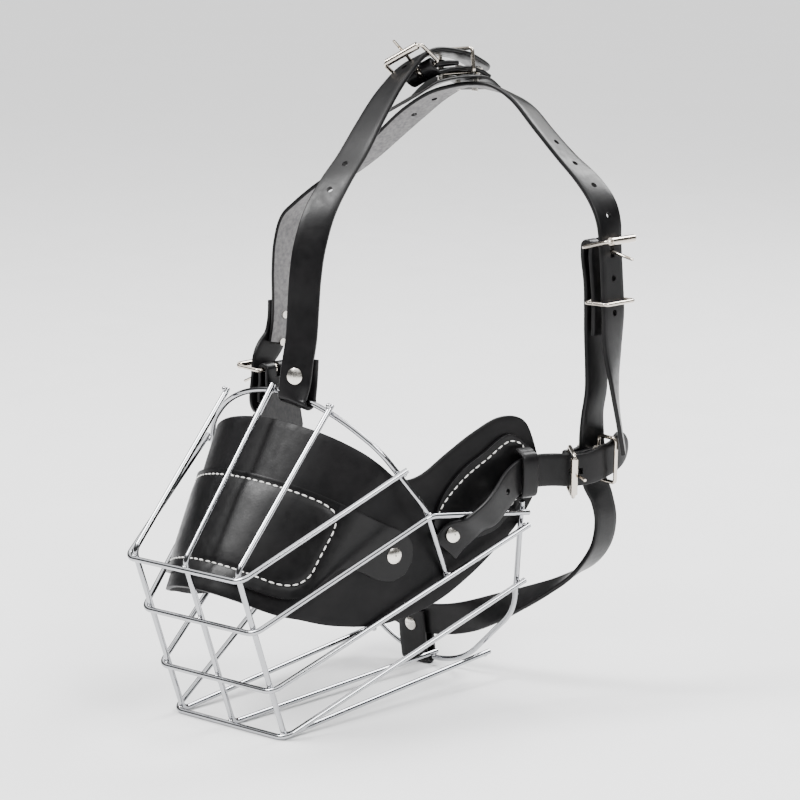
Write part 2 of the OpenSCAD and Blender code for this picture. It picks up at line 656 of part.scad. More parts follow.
module throat_rivet() { nickel() rivet([throat_x, 175.1, 21.5], unit([0, -1, -0.1]), 7.8, 7); }

ring_wire_1();
ring_wire_2();
ring_wire_3();
ring_wire_4();
long_wire_left();
long_wire_middle();
long_wire_right();
arch_wire();
rear_hoop_wire();
nose_saddle();
nose_cover();
cheek_patch_left();
cheek_patch_right();
cheek_strap_left();
cheek_strap_right();
strap_loop_left();
strap_loop_right();
forehead_strap();
crown_strap();
crown_patch();
crown_buckle_strap();
side_strap_left();
side_strap_right();
cheek_buckle_tab();
throat_strap();
throat_loop();
crown_buckle_frame();
crown_buckle_roller();
crown_buckle_prong();
crown_keeper();
side_buckle_frame();
side_buckle_roller();
side_buckle_prong();
side_keeper();
cheek_buckle_frame_right();
cheek_buckle_roller_right();
cheek_buckle_prong_right();
cheek_keeper_right();
cheek_buckle_frame_left();
cheek_buckle_roller_left();
cheek_buckle_prong_left();
saddle_rivets();
forehead_rivet();
crown_rivets();
side_rivets_right();
side_rivets_left();
cheek_rivets_right();
throat_rivet();
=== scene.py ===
"""Basket muzzle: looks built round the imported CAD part.

Lengths are in millimetres, measured as in part.scad, except where a lamp or Blender's own units say otherwise.
"""
import json
import math

import bpy
import numpy as np
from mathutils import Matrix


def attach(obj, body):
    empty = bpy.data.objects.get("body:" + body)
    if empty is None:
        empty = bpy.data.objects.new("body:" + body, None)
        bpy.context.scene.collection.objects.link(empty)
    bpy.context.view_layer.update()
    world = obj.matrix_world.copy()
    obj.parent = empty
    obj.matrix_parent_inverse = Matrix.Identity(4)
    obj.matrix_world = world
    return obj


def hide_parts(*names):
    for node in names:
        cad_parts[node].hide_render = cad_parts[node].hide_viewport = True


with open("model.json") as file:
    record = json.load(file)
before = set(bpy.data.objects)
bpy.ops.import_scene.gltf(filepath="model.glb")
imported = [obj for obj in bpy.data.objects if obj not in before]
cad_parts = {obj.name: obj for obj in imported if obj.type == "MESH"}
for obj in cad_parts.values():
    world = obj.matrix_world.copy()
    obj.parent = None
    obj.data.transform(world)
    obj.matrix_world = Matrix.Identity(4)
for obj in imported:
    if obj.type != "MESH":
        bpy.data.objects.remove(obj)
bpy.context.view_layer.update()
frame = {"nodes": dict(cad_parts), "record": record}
SHIFT = np.array([-4.1, -103.6, 0.0])  # part.scad's origin_shift
MM = 1000.0
ROOT = "muzzle"
SHARP_ANGLE = math.radians(40)
BEVEL_ANGLE = math.radians(50)


# ------------------------------------------------------------------ materials

def material(name, colour, metallic=0.0, rough=0.5, rough_var=0.0, rough_scale=300.0, grain=0.0,
             grain_scale=1500.0, tint=None, tint_scale=60.0, spec=0.5, wrinkle=0.0):
    """Principled material; noise varies its roughness and tint, and adds wrinkles and fine grain as bump."""
    m = bpy.data.materials.new(name)
    m.use_nodes = True
    nt = m.node_tree
    b = nt.nodes["Principled BSDF"]
    b.inputs["Base Color"].default_value = (*colour, 1)
    b.inputs["Metallic"].default_value = metallic
    b.inputs["Roughness"].default_value = rough
    b.inputs["Specular IOR Level"].default_value = spec
    at = nt.nodes.new("ShaderNodeTexCoord").outputs["Object"]

    def noise(scale, detail=4.0):  # value 0 to 1, over the piece's own coordinates
        n = nt.nodes.new("ShaderNodeTexNoise")
        nt.links.new(at, n.inputs["Vector"])
        n.inputs["Scale"].default_value = scale
        n.inputs["Detail"].default_value = detail
        return n.outputs["Fac"]

    if rough_var:
        r = nt.nodes.new("ShaderNodeMapRange")
        nt.links.new(noise(rough_scale), r.inputs["Value"])
        r.inputs["From Min"].default_value, r.inputs["From Max"].default_value = 0.3, 0.7
        r.inputs["To Min"].default_value = rough - rough_var
        r.inputs["To Max"].default_value = rough + rough_var
        nt.links.new(r.outputs["Result"], b.inputs["Roughness"])
    if tint:
        r = nt.nodes.new("ShaderNodeMapRange")
        nt.links.new(noise(tint_scale), r.inputs["Value"])
        r.inputs["From Min"].default_value, r.inputs["From Max"].default_value = 0.35, 0.65
        mix = nt.nodes.new("ShaderNodeMix")
        mix.data_type = "RGBA"
        nt.links.new(r.outputs["Result"], mix.inputs["Factor"])
        mix.inputs["A"].default_value = (*colour, 1)
        mix.inputs["B"].default_value = (*tint, 1)
        nt.links.new(mix.outputs["Result"], b.inputs["Base Color"])
    last = None
    for strength, scale, detail, depth in ((wrinkle, 90.0, 2.0, 0.0006),
                                           (grain, grain_scale, 3.0, 0.00008)):
        if not strength:
            continue
        bump = nt.nodes.new("ShaderNodeBump")
        nt.links.new(noise(scale, detail), bump.inputs["Height"])
        bump.inputs["Strength"].default_value = strength
        bump.inputs["Distance"].default_value = depth
        if last:
            nt.links.new(last.outputs["Normal"], bump.inputs["Normal"])
        last = bump
    if last:
        nt.links.new(last.outputs["Normal"], b.inputs["Normal"])
    return m


CHROME = material("chrome wire", (0.4, 0.405, 0.42), 1.0, 0.07, 0.03, 500.0, grain=0.12, grain_scale=700.0)
NICKEL = material("nickel", (0.56, 0.51, 0.45), 1.0, 0.16, 0.06, 700.0, grain=0.2, grain_scale=1200.0)
CAPS = material("rivet caps", (0.7, 0.67, 0.62), 1.0, 0.24, 0.08, 600.0, grain=0.25, grain_scale=1400.0)
STRAP = material("strap leather", (0.003, 0.003, 0.0033), rough=0.34, rough_var=0.06, grain=0.35,
                 grain_scale=1100.0, tint=(0.006, 0.0056, 0.006), wrinkle=0.1, spec=0.2)
SADDLE = material("saddle leather", (0.003, 0.003, 0.0034), rough=0.42, rough_var=0.07, grain=0.45,
                  grain_scale=900.0, tint=(0.006, 0.0056, 0.006), wrinkle=0.12, spec=0.13)
COVER = material("cover leather", (0.003, 0.003, 0.0033), rough=0.34, rough_var=0.06, grain=0.4,
                 grain_scale=1000.0, tint=(0.0055, 0.0052, 0.0055), wrinkle=0.2, spec=0.2)
FLESH = material("flesh side", (0.13, 0.128, 0.13), rough=0.9, rough_var=0.05, grain=1.0, grain_scale=1600.0,
                 tint=(0.2, 0.195, 0.195), tint_scale=500.0, spec=0.2)
LINING = material("saddle lining", (0.02, 0.02, 0.021), rough=0.85, rough_var=0.05, grain=1.0,
                  grain_scale=1500.0, tint=(0.032, 0.031, 0.031), tint_scale=400.0, spec=0.25)
THREAD = material("waxed thread", (0.8, 0.79, 0.76), rough=0.6, rough_var=0.1, grain=0.6, grain_scale=3000.0,
                  tint=(0.68, 0.67, 0.64), tint_scale=600.0)
WELD = material("weld", (0.5, 0.5, 0.51), 1.0, 0.16, 0.08, 900.0, grain=0.3, grain_scale=900.0)

SLOTS = {"chrome_wire": CHROME, "saddle_leather": SADDLE, "cover_leather": COVER, "strap_leather": STRAP,
         "nickel": NICKEL, "rivet_nickel": CAPS}
slot_of = {s["node"]: s["material_slot"] for s in frame["record"]["subparts"]}
for node, obj in frame["nodes"].items():
    obj.data.materials.clear()
    obj.data.materials.append(SLOTS[slot_of[node]])


# ------------------------------------------------------------------ meshes

def mesh_object(name, verts, faces, mats, index=None, smooth=True):
    """Points in millimetres, measured as in part.scad."""
    me = bpy.data.meshes.new(name)
    me.from_pydata([tuple((np.array(v) + SHIFT) / MM) for v in verts], [], faces)
    for m in mats:
        me.materials.append(m)
    if index:
        for p, k in zip(me.polygons, index):
            p.material_index = k
    me.validate()
    for p in me.polygons:
        p.use_smooth = smooth
    o = bpy.data.objects.new(name, me)
    bpy.context.scene.collection.objects.link(o)
    return o


def settle(o, replaces=(), body=ROOT):
    """Applies the modifiers, splits the shading at sharp edges, and puts the piece on its body."""
    if o.modifiers:
        dg = bpy.context.evaluated_depsgraph_get()
        done = bpy.data.meshes.new_from_object(o.evaluated_get(dg))
        o.modifiers.clear()
        o.data = done
    o.data.set_sharp_from_angle(angle=SHARP_ANGLE)
    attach(o, body)
    if replaces:
        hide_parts(*replaces)
    return o


def cut(o, cutters):
    """Takes the cutters out of o and deletes them; use_self because a folded strap meets itself."""
    for c in cutters:
        m = o.modifiers.new("cut", "BOOLEAN")
        m.operation = "DIFFERENCE"
        m.solver = "EXACT"
        m.use_self = True
        m.object = c
    dg = bpy.context.evaluated_depsgraph_get()
    done = bpy.data.meshes.new_from_object(o.evaluated_get(dg))
    o.modifiers.clear()
    o.data = done
    for c in cutters:
        bpy.data.objects.remove(c)


def unit(v):
    v = np.array(v, float)
    return v / np.linalg.norm(v)


def square_to(v, n):
    v, n = np.array(v, float), unit(n)
    return unit(v - n * (v @ n))


def mirror_x(p):
    return np.array([-p[0], p[1], p[2]], float)


def smooth(pts, n):
    """Catmull-Rom curve through the points, with n steps between each two."""
    pts = [np.array(p, float) for p in pts]
    out = []
    for i in range(len(pts) - 1):
        a, b, c, d = pts[max(i - 1, 0)], pts[i], pts[i + 1], pts[min(i + 2, len(pts) - 1)]
        for j in range(n):
            k = j / n
            out.append(0.5 * (2 * b + (c - a) * k + (2 * a - 5 * b + 4 * c - d) * k * k
                              + (3 * b - a - 3 * c + d) * k ** 3))
    out.append(pts[-1])
    return out


# ------------------------------------------------------------------ straps

STRAP_W, STRAP_T = 16.4, 2.4
TIP_BASE = 0.18  # share of the width that a rounded tip keeps at its very end


def section(w, t, r=0.75, n=3, across=6):
    """Rounded rectangle, anticlockwise from the lower left, as (across, up) points."""
    pts = []
    for cx, cy, a0 in ((-1, -1, 180), (1, -1, 270), (1, 1, 0), (-1, 1, 90)):
        for k in range(n + 1):
            a = math.radians(a0 + 90 * k / n)
            pts.append((cx * (w / 2 - r) + r * math.cos(a), cy * (t / 2 - r) + r * math.sin(a)))
        if cx == -1 and cy == -1:
            pts += [(-(w / 2 - r) + (w - 2 * r) * k / across, -t / 2) for k in range(1, across)]
        if cx == 1 and cy == 1:
            pts += [((w / 2 - r) - (w - 2 * r) * k / across, t / 2) for k in range(1, across)]
    return pts


def lines(route, steps):
    """A strap route's centre line, with its direction and its width direction at each point."""
    c = smooth([r[0] for r in route], steps)
    s = smooth([r[1] for r in route], steps)
    m = len(c) - 1
    tangent = [unit(c[min(i + 1, m)] - c[max(i - 1, 0)]) for i in range(m + 1)]
    across = [square_to(s[i], tangent[i]) for i in range(m + 1)]
    return c, tangent, across


def strap(name, route, node, w=STRAP_W, t=STRAP_T, steps=8, tip=0.0, flesh=0, holes=(), cutters=(),
          dish=0.15, mat=STRAP):
    """A leather strap along route.

    flesh is +1 or -1 for the side that is not dyed, and tip the length of the rounded end. A hole is
    (distance along the strap, offset across it, radius).
    """
    c, tan, acr = lines(route, steps)
    run = np.concatenate([[0], np.cumsum([np.linalg.norm(c[i + 1] - c[i]) for i in range(len(c) - 1)])])
    sec = section(w, t)
    verts, faces, index = [], [], []
    for i, p in enumerate(c):
        n = np.cross(tan[i], acr[i])
        left = run[-1] - run[i]
        k = 1.0
        if tip and left < tip:
            k = max(TIP_BASE, math.sqrt(1 - (1 - left / tip) ** 2) * 0.82 + TIP_BASE)
        for a, b in sec:
            verts.append(p + acr[i] * a * k + n * (b - dish * (2 * a / w) ** 2 * np.sign(b) * 0.6))
    m = len(sec)
    for i in range(len(c) - 1):
        for j in range(m):
            q = (j + 1) % m
            faces.append((i * m + j, i * m + q, (i + 1) * m + q, (i + 1) * m + j))
            mid = sec[j][1] + sec[q][1]
            index.append(1 if flesh and mid * flesh > t * 0.85 else 0)
    faces.append(tuple(range(m - 1, -1, -1)))
    faces.append(tuple((len(c) - 1) * m + j for j in range(m)))
    index += [0, 0]
    o = mesh_object(name, verts, faces, [mat, FLESH], index)
    tools = list(cutters)
    for at, offset, r in holes:
        i = int(np.argmin(abs(run - at)))
        n = np.cross(tan[i], acr[i])
        tools.append(drill(c[i] + acr[i] * offset - n * DRILL_H / 2, n, r))
    if tools:
        cut(o, tools)
    return settle(o, [node])


DRILL_SIDES, DRILL_H = 20, 8


def drill(p, n, r):
    """Round cutter for a punched hole, standing on p along n."""
    n, m = unit(n), DRILL_SIDES
    u = square_to((1, 0, 0) if abs(n[0]) < 0.9 else (0, 1, 0), n)
    v = np.cross(n, u)
    ring = [(math.cos(2 * math.pi * k / m) * u + math.sin(2 * math.pi * k / m) * v) * r for k in range(m)]
    verts = [p + q for q in ring] + [p + n * DRILL_H + q for q in ring]
    faces = [(k, (k + 1) % m, m + (k + 1) % m, m + k) for k in range(m)]
    faces += [tuple(range(m - 1, -1, -1)), tuple(range(m, 2 * m))]
    return mesh_object("drill", verts, faces, [STRAP])


def block(p, u, v, lo, hi):
    """Box between two corners, in a frame at p whose axes are u, v and u x v."""
    u, v = np.array(u, float), np.array(v, float)
    w = np.cross(u, v)
    verts = [p + u * x + v * y + w * z
             for x in (lo[0], hi[0]) for y in (lo[1], hi[1]) for z in (lo[2], hi[2])]
    faces = [(0, 1, 3, 2), (4, 6, 7, 5), (0, 4, 5, 1), (2, 3, 7, 6), (0, 2, 6, 4), (1, 5, 7, 3)]
    return mesh_object("block", verts, faces, [STRAP], smooth=False)


def with_width(pts, s):
    return [(p, s) for p in pts]


def fold(c, u, v, r, n=8):
    """Half turn of radius r round c, from the side u over v to the side -u."""
    c, u, v = np.array(c), np.array(u), np.array(v)
    return [c + u * r * math.cos(math.pi * i / n) + v * r * math.sin(math.pi * i / n) for i in range(n + 1)]


# Buckles: strap bar's centre, direction to the roller, direction of the bars, and two angles in degrees whose
# sum is the way that the prong's hole is turned
RIGHT_U = unit([12, -11, -1.6])
CROWN_B = (np.array([11, 157, 312.5]), unit([0, -0.83, 0.56]), unit([-0.81, -0.33, -0.4891]), 11, 6)
SIDE_B = (np.array([98, 189.5, 229.5]), unit([16, 0, 4]), np.array([0, 1.0, 0]), 27, -4)
RIGHT_B = (np.array([93, 176, 119.5]), RIGHT_U, square_to([0, 0, 1], RIGHT_U), 11, 6)
LEFT_B = (np.array([-91, 155, 151.0]), unit([-16, 0, 1]), np.array([0, -1.0, 0]), 27, -4)
FOLD_R = 1 + 0.3 + STRAP_T / 2  # bar radius, clearance and half the strap
FOLD_LEG = 5.6
PRONG_W = 3.0


def turned(b):
    """The prong's direction."""
    a = math.radians(b[3] + b[4])
    w = np.cross(b[1], b[2])
    return b[1] * math.cos(a) - w * math.sin(a)


def prong_hole(b, start, end):
    return block(b[0], turned(b), b[2], (start, -PRONG_W / 2, -3.5), (end, PRONG_W / 2, 3.5))


def folded(name, b, apex, before, after):
    """A strap folded round buckle b's strap bar, with a slot for the prong in the fold."""
    side = np.cross(apex, b[2])

    def leg(s):
        return b[0] + side * (s * FOLD_R) - apex * FOLD_LEG, b[2]

    route = [*before, leg(1), *with_width(fold(b[0], side, apex, FOLD_R), b[2]), leg(-1), *after]
    outside = FOLD_R + STRAP_T
    slot_cut = block(b[0], side, apex, (-outside, -4, -PRONG_W / 2), (outside, outside, PRONG_W / 2))
    return strap(name, route, name, cutters=[slot_cut])


def arch_point(x, z):  # in the arch wire's plane
    return np.array([x, 151.5 - 0.549 * z, z])


YAW = (0.94, 0.34, 0)
forehead = [
    *with_width([(14.7, 67.4, 179), (14.5, 66.9, 170)], YAW),
    *with_width(fold(arch_point(14.5, 160.6), (0, 1, 0), (0, 0, -1), 3.4), (1, 0.11, -0.2)),
    *with_width([(14.5, 62, 168), (14.5, 64, 178), (14.5, 66.5, 189)], YAW),
    ((14, 68.5, 204), (0.93, 0.37, 0)), ((14, 70, 218), (0.92, 0.4, 0)), ((14, 73, 232), (0.9, 0.44, 0)),
    ((14, 80, 248), (0.9, 0.42, 0.1)), ((14, 91, 262), (0.88, 0.42, 0.2)), ((14, 104, 275), (0.86, 0.4, 0.3)),
    ((13, 117, 289), (0.84, 0.36, 0.4)), ((12, 130, 302), (0.82, 0.34, 0.46)),
    ((11.5, 141, 311), (0.81, 0.33, 0.49)), ((11, 150.4, 317), (0.81, 0.33, 0.49)),
    ((11, 160, 320.6), (0.86, 0.2, 0.4)),
    ((10.6, 172, 321.4), (0.97, 0.05, 0.2)), ((10, 186, 319.6), (1, 0, 0.1)), ((9, 198, 316), (1, 0, 0)),
    ((8, 209, 311), (1, 0, 0)),
]
Y = (0, 1, 0)
crown = [
    ((113, 194, 128), (-0.6, 0.8, 0)), ((112.4, 191.5, 140), (-0.6, 0.8, 0)),
    ((111.6, 189.6, 152), (-0.55, 0.83, 0)), ((110.6, 188.6, 165), (-0.4, 0.9, 0)),
    ((109.5, 188.5, 180), (-0.15, 1, 0)),
    ((109.3, 189, 197), Y), ((108, 189.4, 214), Y), ((106.6, 189.6, 230), Y), ((105, 190, 242), (0.1, 1, 0)),
    ((100.5, 190, 252), (0.2, 1, 0)), ((91, 190, 262), (0.1, 1, 0)), ((78, 190, 272), (0, 1, -0.1)),
    ((64, 190, 284), (0, 1, -0.2)), ((50, 190.5, 296), (0.1, 0.95, -0.32)),
    ((36, 190.5, 302.4), (0.1, 0.92, -0.36)),
    ((22, 190, 304.2), (0, 0.98, -0.2)), ((8, 189.5, 303.4), Y), ((-6, 189, 298), (0, 1, -0.15)),
    ((-21, 188, 288.4), (0, 0.95, -0.3)), ((-34, 187, 278.4), (-0.1, 0.93, -0.35)),
    ((-49, 185, 266), (-0.15, 0.95, -0.3)), ((-64, 182, 255), (-0.15, 0.97, -0.2)),
    ((-77, 178, 246.5), (-0.15, 1, -0.1)), ((-87, 174, 238), (-0.1, 1, 0)),
    ((-93, 171, 230), (-0.05, 1, 0)), ((-95.5, 169, 217), Y), ((-96, 168, 202), Y), ((-96, 168, 187), Y),
    ((-96.2, 167.5, 174), Y), ((-96.4, 165.5, 163), Y),
]
side_left = with_width([(-98.8, 168, 186), (-99.1, 167.5, 175), (-99.4, 164.4, 165), (-99.2, 157.6, 158),
                        (-99, 155.2, 152), (-99, 154.8, 146), (-98.8, 153.4, 138), (-97.6, 151.4, 126)], Y)
throat = [
    ((95.7, 191.8, 119.8), (0.17, 0.985, 0)), ((96, 192.8, 111), (0.1, 1, 0)),
    ((98, 196.6, 101), Y), ((99.4, 198, 89), Y),
    ((97.4, 196, 76), (0, 1, 0.1)), ((90.4, 190, 64.5), (0.1, 1, 0.3)), ((77, 184.5, 54.6), (0.1, 1, 0.5)),
    ((61, 181, 46), (0, 0.75, 0.65)), ((43, 179.4, 37.6), (0, 0.45, 0.88)), ((25, 179, 30.4), (0, 0.1, 0.98)),
    ((7, 178.9, 26), (0, -0.05, 0.98)), ((-11, 178.7, 25), (0, -0.08, 0.98)),
    ((-29, 178.4, 30), (0, 0.1, 0.98)),
    ((-45, 177, 40), (0, 0.45, 0.88)), ((-60, 174.6, 53), (0, 0.7, 0.7)), ((-73, 171.4, 69), (0, 0.9, 0.4)),
    ((-82, 168.4, 87), (0, 1, 0.2)), ((-87, 166, 103), (0, 1, 0.1)), ((-90, 163, 118), Y), ((-91, 159, 130), Y),
    ((-91, 156, 141), Y),
]
Z = (0, 0, 1)
cheek_start = [
    ((69.1, 109.5, 85.4), (-0.19, -0.61, 0.78)), ((71.5, 114.4, 91.4), (-0.19, -0.61, 0.78)),
    ((79.2, 119, 97.4), (0.4, -0.57, 0.72)), ((85.3, 124, 103), (0.15, -0.6, 0.78)),
    ((86.8, 131, 109.5), (0.1, -0.6, 0.8)), ((86.4, 139, 115.4), (0, -0.45, 0.9)),
]
cheek_right = [
    *cheek_start, ((86.2, 148, 119), (0, -0.15, 1)), ((88, 157, 119.8), Z), ((92.4, 164.4, 119.8), Z),
    ((98.6, 171.4, 119.4), Z), ((103, 180, 120), Z), ((105, 190, 122.2), Z),
    ((105.4, 199, 125.6), (0, -0.3, 1)),
    ((103.8, 206, 133), (0, -0.6, 0.8)),
]

PUNCH_R = 1.6
strap("forehead_strap", forehead, "forehead_strap", tip=9, cutters=[prong_hole(CROWN_B, 4, 13)],
      holes=[(k, 0, PUNCH_R) for k in (148, 132, 214)])
strap("crown_strap", crown, "crown_strap", flesh=1, cutters=[prong_hole(SIDE_B, 5, 13)],
      holes=[(k, 0, PUNCH_R) for k in (86, 70, 118, 134, 150, 166, 254, 270)])
strap("side_strap_left", side_left, "side_strap_left", tip=9, cutters=[prong_hole(LEFT_B, 5, 13)])
strap("throat_strap", throat, "throat_strap")
strap("cheek_strap_right", cheek_right, "cheek_strap_right", tip=9, cutters=[prong_hole(RIGHT_B, 3.6, 13)],
      holes=[(k, 0, PUNCH_R) for k in (44, 58)])

crown_apex = square_to([0, -1, 0.1], CROWN_B[2])
folded("crown_buckle_strap", CROWN_B, crown_apex, [
    ((10, 203, 307.4), (-1, 0, -0.08)), ((10, 196, 310.6), (-1, 0, -0.08)), ((10, 187, 312.3), (-1, 0, -0.1)),
    ((10.2, 178, 312), (-1, 0, -0.14)), ((10.6, 170, 311.2), (-0.95, -0.1, -0.24)),
], [((10.2, 170, 314.9), (-0.95, -0.1, -0.24)), ((9.8, 178, 315), (-1, 0, -0.14))])
folded("side_strap_right", SIDE_B, np.array([0, 0, 1.0]), [
    ((96.3, 190.8, 122.4), (0.17, 0.985, 0)), ((96.6, 189.4, 133), (0.12, 0.99, 0)), *with_width([
        (98.4, 187.4, 145), (100.4, 187.6, 158), (100, 188, 171), (98.8, 188.6, 186), (98.2, 189, 202),
        (97.4, 189.4, 212)], Y)],
    with_width([(101.8, 189.4, 212), (103, 189, 202), (103, 189, 186)], Y))
tab_apex = square_to([-0.25, -0.97, 0], RIGHT_B[2])
folded("cheek_buckle_tab", RIGHT_B, tab_apex, with_width([(93.6, 200, 122.4), (92.6, 189, 121.4)], RIGHT_B[2]),
       with_width([(101.2, 189, 121.4), (102.6, 199, 122.4)], RIGHT_B[2]))
folded("cheek_strap_left", LEFT_B, np.array([0, 0, 1.0]), [
    *[(mirror_x(p), mirror_x(s)) for p, s in cheek_start],
    ((-86, 146, 124), (0, -0.7, 0.7)), ((-86.6, 151.4, 131.6), (0, -0.9, 0.4)),
    ((-88, 154.6, 140), (0, -1, 0.1)),
], with_width([(-94, 154.8, 140), (-94, 154.4, 133)], (0, -1, 0)))

strap("crown_patch", [
    *with_width([(10, 145, 297.5), (10, 152, 300), (10, 161, 302.8)], (0.88, 0.1, 0.46)),
    ((10, 172, 306.2), (0.96, 0, 0.24)),
    *with_width([(10, 182, 308), (10, 190, 307.8), (10, 198, 305.8), (10, 205, 301.6)], (1, 0, 0.09)),
], "crown_patch", w=26, t=1.6, mat=COVER, dish=0.0)


def strap_loop(name, p, u, up, flip):
    """A loop over a cheek strap at p; u runs along the strap, and flip mirrors it to the left side."""
    out = square_to(square_to((1, -0.3, 0), u), up)
    pts = [np.array(p) + np.array(up) * a + out * b for a, b in (
        (-12.4, -3.4), (-11.4, -1), (-9.3, 2.6), (0, 3.6), (8.2, 3), (10.6, -0.6), (11.6, -3.4))]
    if flip:
        pts, u = [mirror_x(q) for q in pts], mirror_x(u)
    strap(name, with_width(pts, u), name, w=9, t=1.8, dish=0.0)


strap_loop("strap_loop_right", (87.2, 150, 119.4), unit([0.286, 1, 0]), (0, 0, 1), False)
strap_loop("strap_loop_left", (86.8, 143, 119), unit([0.1, 0.7, 0.7]), unit([0, -0.7, 0.7]), True)
bar = np.array([-11, 182 - 0.314 * (3.85 - 1.4), 3.85])
strap("throat_loop", with_width([
    (-11, 181.4, 29), (-11, 181.9, 21), (-11, 183.4, 12), *fold(bar, (0, 1, 0), (0, 0, -1), 2.85),
    (-11, 177, 12), (-11, 176.1, 21), (-11, 174.8, 29)], (1, 0, 0)), "throat_loop", w=18, t=2, dish=0.0)


# ------------------------------------------------------------------ nose saddle

RIDGE, DOWN, INTO = np.array([0, 58, 149.4]), unit([0, -48, -72]), unit([0, 72, -48])


def saddle_half(y):
    """Half the saddle's width at y; narrower than in the photograph, to lie clear inside the wires."""
    return 33.5 + 0.285 * min(y, 94) + 0.31 * max(y - 94, 0)


SADDLE_TURN, SADDLE_DEPTH = 55, 30  # q where the turn round the nose ends, and how deep it is


def saddle_raw(t, q):
    """Saddle surface: t down its ridge and q from the ridge round to the right cheek."""
    turn = math.radians(min(q / SADDLE_TURN, 1) * 90)
    p = RIDGE + DOWN * t + INTO * (SADDLE_DEPTH * (1 - math.cos(turn)) + max(q - SADDLE_TURN, 0))
    return np.array([saddle_half(p[1]) * math.sin(turn), p[1], p[2]])


def saddle_normal(t, q):
    if q <= 0.5:
        return -INTO
    return unit(np.cross(saddle_raw(t + 0.5, q) - saddle_raw(t - 0.5, q),
                         saddle_raw(t, q + 0.5) - saddle_raw(t, q - 0.5)))


def on_saddle(t, q, off):
    return saddle_raw(t, max(q, 0)) + saddle_normal(t, q) * off


def sheet_mesh(name, lower, upper, off, thick, both, node, mats, steps=8, rows=24,
               flip=False, puff=None):
    """A leather sheet on the saddle between two (t, q) outlines; both adds its mirrored half."""
    lo, up = smooth(lower, steps), smooth(upper, steps)
    m = len(lo) - 1
    start = -m if both else 0
    n_j = rows + 1
    grid = {0: [], 1: []}
    for i in range(start, m + 1):
        for j in range(n_j):
            e = lo[abs(i)] + (up[abs(i)] - lo[abs(i)]) * (j / rows)
            for side, d in ((0, off), (1, off - thick)):
                extra = puff(e[0], e[1]) if puff and side == 0 else 0
                p = on_saddle(e[0], e[1], d + extra)
                grid[side].append(mirror_x(p) if (i < 0) != flip else p)
    n_i = m - start + 1
    n = n_i * n_j
    faces, index = [], []
    for i in range(n_i - 1):
        for j in range(n_j - 1):
            a = (i * n_j + j, (i + 1) * n_j + j, (i + 1) * n_j + j + 1, i * n_j + j + 1)
            faces.append(a)
            faces.append(tuple(n + k for k in reversed(a)))
            index += [0, 1]
    rim = [(i, 0) for i in range(n_i)] + [(n_i - 1, j) for j in range(1, n_j)]
    rim += [(i, n_j - 1) for i in range(n_i - 2, -1, -1)] + [(0, j) for j in range(n_j - 2, 0, -1)]
    ids = [i * n_j + j for i, j in rim]
    for k in range(len(ids)):
        a, b = ids[k], ids[(k + 1) % len(ids)]
        faces.append((b, a, n + a, n + b))
        index.append(0)
    if flip:
        faces = [tuple(reversed(f)) for f in faces]
    o = mesh_object(name, grid[0] + grid[1], faces, mats, index)
    bev = o.modifiers.new("edge", "BEVEL")
    bev.width, bev.segments, bev.limit_method, bev.angle_limit = 0.0006, 3, "ANGLE", BEVEL_ANGLE
    return settle(o, [node])


SHEET_OFF, COVER_T = 2.2, 2.0  # the cover and patches stand on the saddle's thickness
saddle_lower = [(91.5, 0), (91.5, 22), (91, 40), (88, 54), (82, 74), (70, 97), (50, 116), (28, 127),
                (5, 134), (-8, 136.5), (-20, 136.5)]
saddle_upper = [(0, 0), (1, 22), (3, 40), (5, 53), (6, 66), (-1, 75), (-17, 82), (-32, 89), (-46, 98.5),
                (-50, 112), (-36, 131)]
cover_lower = [(84, 0), (84, 16), (84, 30), (82, 42), (76, 50), (66, 55), (57, 60), (54, 69), (53, 80),
               (50, 88), (44, 92.5)]
cover_upper = [(30, 0), (30, 12), (30, 24), (30, 34), (30, 44), (29.5, 53), (29, 62), (28, 72), (27, 81),
               (30, 88), (37, 92.5)]
patch_lower = [(20, 101), (16, 112), (5, 124), (-4, 127.5), (-16, 130), (-27, 128)]
patch_upper = [(16, 93), (4, 90), (-12, 92), (-26, 98), (-40, 105), (-41, 118)]
nose_stitch = smooth([(33, 0), (33, 15), (33, 30), (33.5, 38), (36, 44), (43, 46.5), (52, 46.8), (60, 47),
                      (67, 47), (73.5, 43.5), (77, 36), (77.5, 25), (77.5, 12), (77.5, 0)], 6)
LINE = np.array(nose_stitch)


def quilt(t, q):
    """How far the cover stands up: pulled down along its stitches."""
    d = float(np.sqrt(((LINE - np.array([t, q])) ** 2).sum(1)).min())
    return -0.5 * math.exp(-(d / 1.3) ** 2) + 0.35 * (1 - math.exp(-(d / 5) ** 2)) - 0.1


sheet_mesh("nose_saddle", saddle_lower, saddle_upper, 0, 2.2, True, "nose_saddle", [SADDLE, LINING])
sheet_mesh("nose_cover", cover_lower, cover_upper, SHEET_OFF, COVER_T, True, "nose_cover", [COVER, LINING],
           rows=40, steps=10, puff=quilt)
for side, flip in (("right", False), ("left", True)):
    sheet_mesh("cheek_patch_" + side, patch_lower, patch_upper, SHEET_OFF, COVER_T, False,
               "cheek_patch_" + side, [COVER, LINING], flip=flip)


# ------------------------------------------------------------------ stitches

STITCH_LONG, STITCH_STEP, STITCH_WIDE, STITCH_HIGH = 2.7, 3.9, 0.42, 0.3
STITCH_RINGS, STITCH_SIDES = 5, 8


